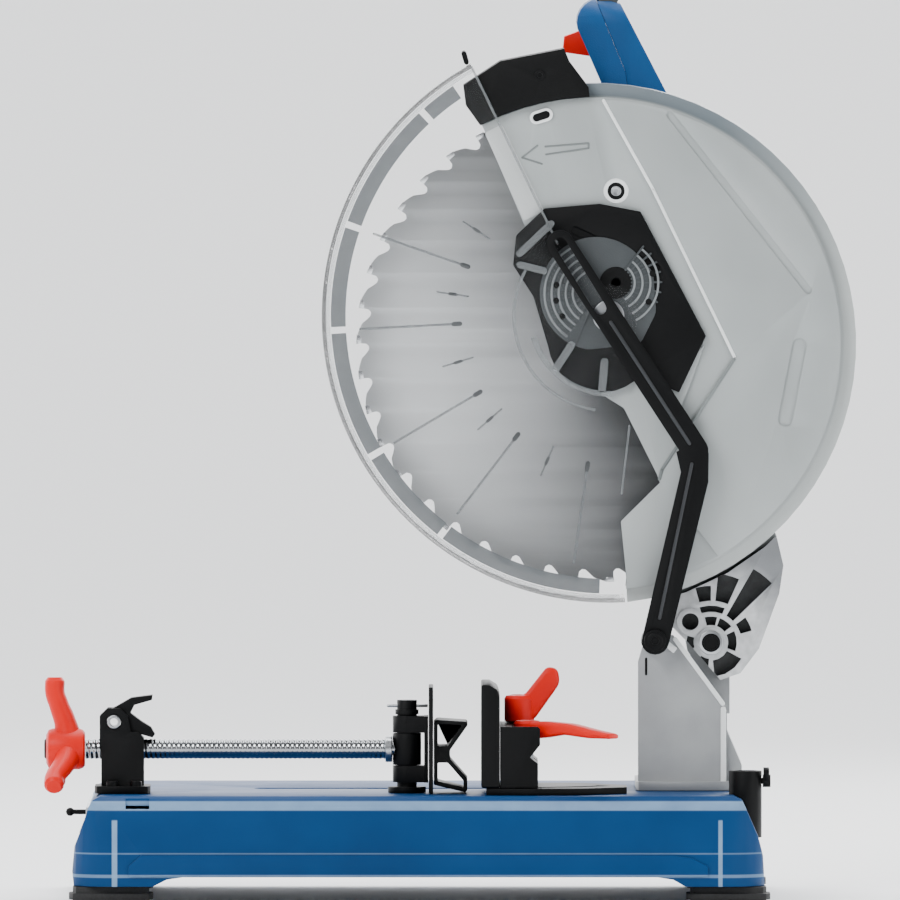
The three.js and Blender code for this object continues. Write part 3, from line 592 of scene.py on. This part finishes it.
def easeEdges(piece, width):
    piece.data.polygons.foreach_set("use_smooth", [True] * len(piece.data.polygons))
    weld = piece.modifiers.new("weld", "WELD")
    weld.merge_threshold = 0.00002
    tidy = piece.modifiers.new("tidy", "DECIMATE")
    tidy.decimate_type = "DISSOLVE"
    tidy.angle_limit = math.radians(1.5)
    if width:
        bevel = piece.modifiers.new("bevel", "BEVEL")
        bevel.width = width * mm
        bevel.segments = 3
        bevel.limit_method = "ANGLE"
        bevel.angle_limit = math.radians(32)
        bevel.harden_normals = True
        bevel.miter_outer = "MITER_ARC"


def dress(piece, material):
    piece.data.materials.clear()
    piece.data.materials.append(material)


for name, node in frame["nodes"].items():
    dress(node, finishList[slotOf[name]])
    easeEdges(node, easing.get(name, easing["default"]))
dress(frame["nodes"]["head_casting"], hingeCast)
print("CAD nodes dressed")


# blade: body with gullets, and a carbide tip on every tooth

bladeShape = {"teeth": 42, "radius": 152.5, "gullet": 8.2, "half": 1.0, "tipHalf": 1.35, "bore": 8.3}


def makeBlade():
    pitch = 360 / bladeShape["teeth"]
    radius, gullet = bladeShape["radius"], bladeShape["gullet"]
    outline, tips = [], []
    for i in range(bladeShape["teeth"]):
        start = i * pitch
        steep = [(radius - 0.6, 0.0), (radius - 3.4, 0.01), (radius - gullet * 0.8, 0.02)]
        floor = [(radius - gullet, 0.1), (radius - gullet * 0.98, 0.2), (radius - gullet * 0.72, 0.32)]
        back = [
            (radius - gullet * 0.4, 0.44), (radius - 2.2, 0.56), (radius - 1.0, 0.72), (radius - 0.8, 0.97),
        ]
        outline += [polar(bladeAxis, r, start + turn * pitch) for r, turn in steep + floor + back]
        corners = [(3.4, 0.015), (0, 0.02), (0.35, -0.24), (3.0, -0.2)]
        tips.append([polar(bladeAxis, radius - depth, start + turn * pitch) for depth, turn in corners])
    half, bore = bladeShape["half"], circle(bladeAxis, bladeShape["bore"])
    body = slab("bladeDisc", [outline, bore], -half, half, 0.15)
    fit(body, "blade_set", "steel", bladeSteel, ("blade",))
    carbide = slab("bladeTips", tips, -bladeShape["tipHalf"], bladeShape["tipHalf"], 0.2)
    fit(carbide, "blade_set", "steel", tipSteel)


makeBlade()


# clear guard: sheet, dark rim, milky band between the ribs, mouldings round the hub

clearShape = {
    "radius": 182.2, "from": 118.8, "to": 273.3, "near": -42.0, "far": 38.0,
    "ribs": (132.4, 160.7, 183, 210.6, 232.6, 262), "dashes": (147, 172, 197, 221, 247),
}


def makeClearGuard():
    radius, start, end = clearShape["radius"], clearShape["from"], clearShape["to"]
    near, far = clearShape["near"], clearShape["far"]
    wall = arc(clearAxis, radius - 0.6, start, end, 96) + [(126, 240), (139, 352)]
    wall += arc(clearAxis, 20, -30, 100, 20) + [(88, 415)]
    sheet = slab("clearSheet", [wall, circle(clearAxis, 7.4)], near, near + 2, 0.4)
    fit(sheet, "lower_guard", "clear_guard", replaced=("clear_guard",))
    flank = slab("clearFlank", [band(clearAxis, 100, radius - 0.6, start, end, 96)], far - 2, far, 0.4)
    fit(flank, "lower_guard", "clear_guard")
    rim = slab("clearRim", [band(clearAxis, radius - 2.6, radius, start, end, 120)], near, far, 0.5)
    fit(rim, "lower_guard", "clear_guard", rimSheet)
    edge = band(clearAxis, radius - 5.2, radius - 2.9, start, end - 1, 120)
    lip = slab("clearLip", [edge], near - 0.5, near + 1, 0.3)
    fit(lip, "lower_guard", "clear_guard", paleLine)
    cuts = [123.4, *clearShape["ribs"][:5], end - 4.5]
    bands = [band(clearAxis, 167, 176.4, a + 0.7, b - 0.7, 24) for a, b in zip(cuts, cuts[1:])]
    milky = slab("clearBand", bands, near - 0.4, near + 0.4, 0.2)
    fit(milky, "lower_guard", "clear_guard", bandSheet)
    def spoke(inner, outer, angle, width, steps):
        return capsule(polar(clearAxis, inner, angle), polar(clearAxis, outer, angle), width, steps)
    long, short = clearShape["ribs"][1:], clearShape["dashes"]
    lines = [spoke(100, 158, a, 1.5, 3) for a in long] + [spoke(90, 110, a, 1.1, 3) for a in short]
    ribs = slab("clearRibs", lines, near - 0.9, near + 0.2, 0.3)
    fit(ribs, "lower_guard", "clear_guard", ribSheet)
    dots = [spoke(94.5, 98.5, a, 3.0, 4) for a in long] + [spoke(98, 102, a, 2.0, 4) for a in short]
    studs = slab("clearStuds", dots, near - 1.2, near + 0.2, 0.4)
    fit(studs, "lower_guard", "clear_guard", studSheet)
    pale = [
        band(clearAxis, 59.2, 61.2, 150, 262, 40), band(clearAxis, 47.6, 51.2, 196, 272, 30),
        capsule(polar(clearAxis, 69, 122), polar(clearAxis, 69, 145), 4.6, 4),
        capsule(polar(clearAxis, 65, 150), polar(clearAxis, 50, 145), 4.6, 4),
        capsule(polar(clearAxis, 47, 225), polar(clearAxis, 30, 218), 5.0, 4),
        capsule(polar(clearAxis, 47, 265), polar(clearAxis, 29, 265), 5.0, 4),
        capsule((32.6, 528), (87.2, 416), 1.6, 4), capsule((128, 257), (133, 300), 1.4, 4),
    ]
    mouldings = slab("clearMouldings", pale, near - 0.8, near + 0.3, 0.3)
    fit(mouldings, "lower_guard", "clear_guard", hubLine)


makeClearGuard()
print("blade and clear guard made")


# fixed guard: beads along its raised panel, arrow, recessed screw and slot

guardShape = {
    "edge": [(116.5, 506.5), (148, 450), (200, 343), (153.7, 272), (152, 266)], "beadWidth": 2.0,
    "arrow": [
        ((64.8, 470.2), (74.6, 477.9)), ((64.8, 470.2), (77.4, 466.2)), ((79.5, 477.2), (107, 479.4)),
        ((80.0, 472.2), (107, 476.2)), ((107, 479.4), (107, 476.2)),
    ],
    "screw": (124.5, 449), "slotLip": ((73.8, 495.6), (80.2, 497.6)), "slot": ((74, 495.6), (80, 497.6)),
    "strip": [(41, 486), (52, 491.5), (79, 436), (66, 430)],
    "panel": [(150, 315), (158, 330), (181, 352), (170, 322), (160, 300)],
}


def makeGuardDetails():
    edge = guardShape["edge"]
    # the beads along the panel's edge are painted highlight on the upper two stretches and painted shade on the
    # rest
    for i, (first, last) in enumerate(zip(edge[:4], edge[1:])):
        bead = slab(f"guardBead{i}", [capsule(first, last, guardShape["beadWidth"], 4)], -35.3, -34.2, 0.45)
        fit(bead, "head", "silver_paint", paintedHighlightEdge if i < 2 else shadeLine)
    for i, (first, last) in enumerate(guardShape["arrow"]):
        stroke = slab(f"guardArrow{i}", [capsule(first, last, 1.1, 4)], -33.6, -32.8, 0.3)
        fit(stroke, "head", "silver_paint", shadeLine)
    x, z = guardShape["screw"]
    # the ring round the recessed screw is painted highlight
    ring = [(5.5, -32.8), (5.5, -33.6), (7.6, -33.6), (8.2, -32.8)]
    fit(turned("guardScrewRing", ring, (x, 0, z), closed=True), "head", "silver_paint", paintedHighlightEdge)
    # the cup inside the ring is black, painted shade inside the recess
    cup = [(5.5, -32.6), (5.5, -33.2), (3.4, -33.1), (3.2, -32.6)]
    fit(turned("guardScrewCup", cup, (x, 0, z), closed=True), "head", "black_moulding")
    screwHead("guardScrew", (x, -32.6, z), "Y", -1, 3.2, "head", height=1.0)
    # the slot's lip is painted highlight
    lip = [capsule(*guardShape["slotLip"], 8.4), capsule(*guardShape["slot"], 5)]
    oval = slab("guardSlotLip", lip, -34.9, -34, 0.3)
    fit(oval, "head", "silver_paint", paintedHighlightEdge)
    plug = slab("guardSlotPlug", [capsule(*guardShape["slot"], 4.9)], -34.5, -34, 0.2)
    fit(plug, "head", "black_moulding")
    # the front strip is the silver painted lighter, as painted highlight
    strip = slab("guardFrontStrip", [softened(guardShape["strip"], 2)], -33.5, -32.9, 0.25)
    fit(strip, "head", "silver_paint", paintedHighlightStrip)
    fit(slab("guardPanel", [softened(guardShape["panel"], 3)], -35.2, -34.4, 0.3), "head", "silver_paint")
    screwHead("capScrew", (76, -38.3, 522.7), "Y", -1, 3.4, "head", "black_coat", 1.0)


makeGuardDetails()


# hub: ribbed plate under the clear guard, its holes and motor boss

hubShape = {
    "centre": (112, 384),
    "rings": (15, 19.5, 24, 28.5, 33), "motorRings": (12, 17, 22, 27),
    "holes": (168, 190, 214), "motorHoles": (-30, 14),
}


def makeHub():
    centre = hubShape["centre"]
    plate = arc(centre, 36, 35, 262, 40) + [(140, 352), (150, 372), (148, 398)]
    body = slab("hubPlate", [softened(plate, 3, 2)], -39.0, -38.4, 0.2)
    fit(body, "head", "grey_moulding", replaced=("hub_rib_plate",))
    # the raised rings are the grey moulding painted lighter, as painted highlight
    rings = []
    for radius in hubShape["rings"]:
        rings.append(band(centre, radius - 0.7, radius + 0.7, 118, 236, 24))
    for radius in hubShape["motorRings"]:
        rings.append(band(motorAxis, radius - 0.7, radius + 0.7, -62, 52, 20))
    fit(slab("hubRings", rings, -40.0, -38.8, 0.25), "head", "grey_moulding", ribHighlightMoulding)
    spokes = [capsule(polar(centre, 12, a), polar(centre, 34, a), 1.3, 3) for a in range(122, 250, 14)]
    spokes += [capsule(polar(motorAxis, 9, a), polar(motorAxis, 29, a), 1.3, 3) for a in range(-64, 60, 13)]
    fit(slab("hubSpokes", spokes, -39.7, -38.8, 0.25), "head", "grey_moulding")
    # black discs for the holes: painted shade inside them
    holes = [circle(polar(centre, 26, a), 2.0, 20) for a in hubShape["holes"]]
    holes += [circle(polar(motorAxis, 24, a), 2, 20) for a in hubShape["motorHoles"]]
    fit(slab("hubHoles", holes, -40.1, -38.9, 0.2), "head", "black_moulding")
    boss = [(10.2, -38.9), (10.2, -39.4), (9.6, -39.8), (3.4, -39.7), (2.8, -39.0)]
    fit(turned("motorBoss", boss, (motorAxis[0], 0, motorAxis[1])), "head", "black_moulding")


makeHub()


# vice: threaded screw and moulded three-arm handle

viceShape = {
    "y": -75.0, "z": 96.0, "radius": 6.35, "depth": 0.35, "pitch": 3.0, "from": -212.0, "to": -22.2,
    "armAngles": (90, 210, 330),
    "armStops": (  # place along the screw, distance out from it, radius of the arm
        (-223, 6, 9), (-225, 17, 7), (-229, 28, 6.3),
        (-231.5, 36, 6.2), (-231.5, 43, 6.3), (-231.5, 45.4, 4.6),
    ),
}


def makeViceScrew():
    around, perTurn = 24, 8
    start, end, pitch = viceShape["from"], viceShape["to"], viceShape["pitch"]
    rows = int((end - start) / pitch * perTurn)
    points, faces = [], []
    for row in range(rows + 1):
        x = start + (end - start) * row / rows
        for k in range(around):
            phase = ((x - start) / pitch - k / around) % 1
            height = min(max(abs(phase - 0.5) * 4 - 0.5, 0), 1)  # trapezium thread
            radius = viceShape["radius"] - viceShape["depth"] * height
            angle = math.tau * k / around
            y = viceShape["y"] + radius * math.cos(angle)
            points.append((x, y, viceShape["z"] + radius * math.sin(angle)))
    for here in range(0, rows * around, around):
        ahead = here + around
        for k in range(around):
            side = (k + 1) % around
            faces.append((here + k, here + side, ahead + side, ahead + k))
    faces += [tuple(range(around)), tuple(range(rows * around, (rows + 1) * around))]
    thread = meshPiece("viceThread", points, faces, 60)
    fit(thread, "screw", "chrome", replaced=("vice_screw",))
    nose = [
        (6.2, -22.2), (8.0, -22.0), (8.4, -21.4), (8.4, -18.2), (8.0, -17.6), (4, -17.4), (4, -6), (3.2, -5),
    ]
    fit(turned("viceNose", nose, (0, viceShape["y"], viceShape["z"]), "X"), "screw", "steel")


def makeViceHandle():
    y, z = viceShape["y"], viceShape["z"]
    hub = [
        (5, -237), (9, -237), (12, -235.5), (13, -233),
        (13, -216), (12, -213.5), (10.5, -212.4), (6.7, -212.4),
    ]
    fit(turned("handleHub", hub, (0, y, z), "X"), "screw", "red_moulding", replaced=("vice_handle",))
    for i, angle in enumerate(viceShape["armAngles"]):
        stops = [(x, *polar((y, z), out, angle), radius) for x, out, radius in viceShape["armStops"]]
        fit(swept(f"handleArm{i}", stops), "screw", "red_moulding")
    cap = [(0.01, -238.2), (5.5, -238.2), (6.4, -237.2), (6.4, -236)]
    fit(turned("handleCap", cap, (0, y, z), "X"), "screw", "black_moulding")


makeViceScrew()
makeViceHandle()
for i, (x, y) in enumerate(((-195, -91.5), (-180, -91.5), (-195, -58.5), (-180, -58.5))):
    screwHead(f"bracketScrew{i}", (x, y, 73), "Z", 1, 3.8, "base", "black_coat", 3.2)
print("vice made")


# fence levers

leverShape = {
    "clampArm": [(58, 113), (72, 113), (89, 137), (87.5, 146), (80.5, 147.5), (66, 129), (56, 128)],
    "clampHub": [(7.5, 111.9), (9.5, 113), (9.5, 127), (8.4, 129), (5, 129.6), (4.5, 128)],
    "clampPlace": (63, -51, 0),
    "lockArm": [
        (0, 114), (14, 114.5), (34, 113.5), (52, 110), (66, 107.6),
        (67, 104.5), (50, 104.5), (30, 106.5), (14, 104), (0, 103),
    ],
    "lockHub": [(7.5, 102.9), (8.8, 104), (8.8, 113), (7.6, 114.6), (4, 115)],
    "lockPlace": (68, -95, 0), "lockLean": -35,
}


def makeLevers():
    shape = leverShape
    arm = slab("clampArm", [softened(shape["clampArm"], 4)], -56.4, -45.6, 2.6)
    fit(arm, "clamp_lever", "red_moulding", replaced=("fence_clamp_lever",))
    hub = turned("clampHub", shape["clampHub"], shape["clampPlace"], "Z")
    fit(hub, "clamp_lever", "red_moulding")
    place = shape["lockPlace"]
    lean = Matrix.Rotation(math.radians(shape["lockLean"]), 4, "Z")
    turn = Matrix.Translation(Vector(place) * mm) @ lean
    arm = slab("lockArm", [softened(shape["lockArm"], 3)], -6.4, 6.4, 2.4, turn=turn)
    fit(arm, "lock_lever", "red_moulding", replaced=("fence_lock_lever",))
    fit(turned("lockHub", shape["lockHub"], place, "Z"), "lock_lever", "red_moulding")
    fit(turned("lockStud", [(3.9, 74), (3.9, 103)], place, "Z"), "lock_lever", "steel")


makeLevers()


# link bar: a raised rib down each leg, grey as painted highlight on the black bar, and its bolt

linkShape = {
    "upper": ((121, 366), (171, 289)), "lower": ((172.5, 276), (152, 178)),
    "rib": 2.2, "bolt": (149.2, 163.9),
}


def makeLinkRib():
    upper = capsule(*linkShape["upper"], linkShape["rib"], 4)
    lower = capsule(*linkShape["lower"], linkShape["rib"], 4)
    x, z = linkShape["bolt"]
    fit(slab("linkRib", [upper, lower], -53.0, -51.8, 0.5), "link", "black_coat", ribHighlightGrey)
    screwHead("linkBolt", (x, -56, z), "Y", -1, 5.2, "base", "black_coat", 1.4)
    cup = [(5.9, -34.6), (5.9, -35.0), (4.6, -35.0), (4.2, -30.5), (0.01, -30.4)]
    fit(turned("hingePinCup", cup, (headAxis[0], 0, headAxis[1])), "base", "black_moulding")


makeLinkRib()


# pedestal: painted highlight along the near cheek's edges, stop tab and slot

edgeShape = {
    "edges": (((162, 164.4), (192.2, 123.4), 3.0), ((192.6, 120), (192.6, 72), 3.4)),
    "tab": [(154.8, 160.4), (157.2, 163.6), (163.4, 158.6), (161, 155.4)],
    "slot": ((143.6, 142), (143.6, 152), 1.5),
}


def makePedestalEdge():
    # the cheek's edges are painted highlight
    for i, line in enumerate(edgeShape["edges"]):
        edge = slab(f"cheekEdge{i}", [capsule(*line, 4)], -40.6, -39.7, 0.4)
        fit(edge, "base", "cast_alloy", paintedHighlightEdge)
    # the stop tab is steel given the painted highlight colour
    tab = slab("stopTab", [softened(edgeShape["tab"], 0.8)], -42.2, -39.8, 0.4)
    fit(tab, "base", "steel", paintedHighlightEdge)
    # the slot is a black slab, painted shade inside it
    slot = slab("cheekSlot", [capsule(*edgeShape["slot"], 4)], -40.4, -39.8, 0.2)
    fit(slot, "base", "black_moulding")


makePedestalEdge()


# far side: bearing cap, case screws and motor screws

farShape = {
    "caseScrews": (188, 240, 285, 330), "caseRing": 35,
    "motorScrews": (50, 170, 290), "motorRing": 30,
}


def makeFarSide():
    cap = [(17.4, 81), (17.4, 83.4), (16.2, 84.4), (8, 84.8), (7, 83.6), (0.01, 83.4)]
    fit(turned("bearingCap", cap, (bladeAxis[0], 0, bladeAxis[1])), "head", "cast_alloy")
    for i, angle in enumerate(farShape["caseScrews"]):
        x, z = polar(bladeAxis, farShape["caseRing"], angle)
        screwHead(f"caseScrew{i}", (x, 81, z), "Y", 1, 3.6, "head")
    for i, angle in enumerate(farShape["motorScrews"]):
        x, z = polar(motorAxis, farShape["motorRing"], angle)
        screwHead(f"motorScrew{i}", (x, 196.6, z), "Y", 1, 3.0, "head", "black_coat", 1.6)


makeFarSide()
print("details made")


# floor, light and camera

studio = {
    "floorSize": 200.0,
    "floorTone": colour(240, 241, 242),
    "behind": (3.9, 3.92, 3.95, 1),
    "front": (0.22, 0.22, 0.23, 1),
    "distance": 16.0,
    "elevation": 1.5,
    "frameWidth": 0.5717,
    "aim": Vector((-0.0003, -0.069, 0.2846)),
    "lamps": {  # place, aim, size and power
        "key": ((-1.6, -2.2, 2.0), (0, 0, 0.25), 1.4, 95),
        "fill": ((2.2, -1.9, 0.9), (0, 0, 0.3), 1.6, 34),
        "top": ((0.1, 0.2, 2.3), (0, 0, 0.2), 1.2, 34),
        "rim": ((0.9, 1.7, 1.2), (0, 0, 0.3), 1.0, 18),
    },
}


def makeFloor():
    f = Finish("floorPaper")
    grain = f.noise(60, 3)
    material = f.surface(
        Base_Color=f.mix(grain * 0.3, studio["floorTone"], colour(228, 229, 230)),
        Roughness=0.7,
        Normal=f.bump(grain, 0.0001),
    )
    bpy.ops.mesh.primitive_plane_add(size=studio["floorSize"], location=(0, 0, 0))
    floor = bpy.context.object
    floor.name = "floor"
    dress(floor, material)


def makeWorld():
    world = bpy.data.worlds.new("studio")
    bpy.context.scene.world = world
    world.use_nodes = True
    tree = world.node_tree
    ways = tree.nodes.new("ShaderNodeTexCoord")
    split = tree.nodes.new("ShaderNodeSeparateXYZ")
    reach = tree.nodes.new("ShaderNodeMapRange")
    reach.inputs["From Min"].default_value = -0.2
    reach.inputs["From Max"].default_value = 0.5
    blend = tree.nodes.new("ShaderNodeMix")
    blend.data_type = "RGBA"
    blend.inputs[6].default_value = studio["front"]
    blend.inputs[7].default_value = studio["behind"]
    tree.links.new(ways.outputs["Generated"], split.inputs[0])
    tree.links.new(split.outputs["Y"], reach.inputs["Value"])
    tree.links.new(reach.outputs[0], blend.inputs[0])
    tree.links.new(blend.outputs[2], tree.nodes["Background"].inputs["Color"])


def makeLight(name, place, aim, size, power):
    lamp = bpy.data.lights.new(name, "AREA")
    lamp.size = size
    lamp.energy = power
    holder = bpy.data.objects.new(name, lamp)
    bpy.context.scene.collection.objects.link(holder)
    holder.location = place
    holder.rotation_euler = (Vector(aim) - Vector(place)).to_track_quat("-Z", "Y").to_euler()


def makeCamera():
    lens = bpy.data.cameras.new("camera")
    lens.sensor_width = 36
    lens.lens = 36 * studio["distance"] / studio["frameWidth"]
    lens.clip_end = 200
    camera = bpy.data.objects.new("camera", lens)
    bpy.context.scene.collection.objects.link(camera)
    tilt = math.radians(studio["elevation"])
    back = Vector((0, -math.cos(tilt), math.sin(tilt)))
    camera.location = studio["aim"] + back * studio["distance"]
    camera.rotation_euler = (-back).to_track_quat("-Z", "Y").to_euler()
    bpy.context.scene.camera = camera


makeFloor()
makeWorld()
for name, lamp in studio["lamps"].items():
    makeLight(name, *lamp)
makeCamera()
print("stage set")
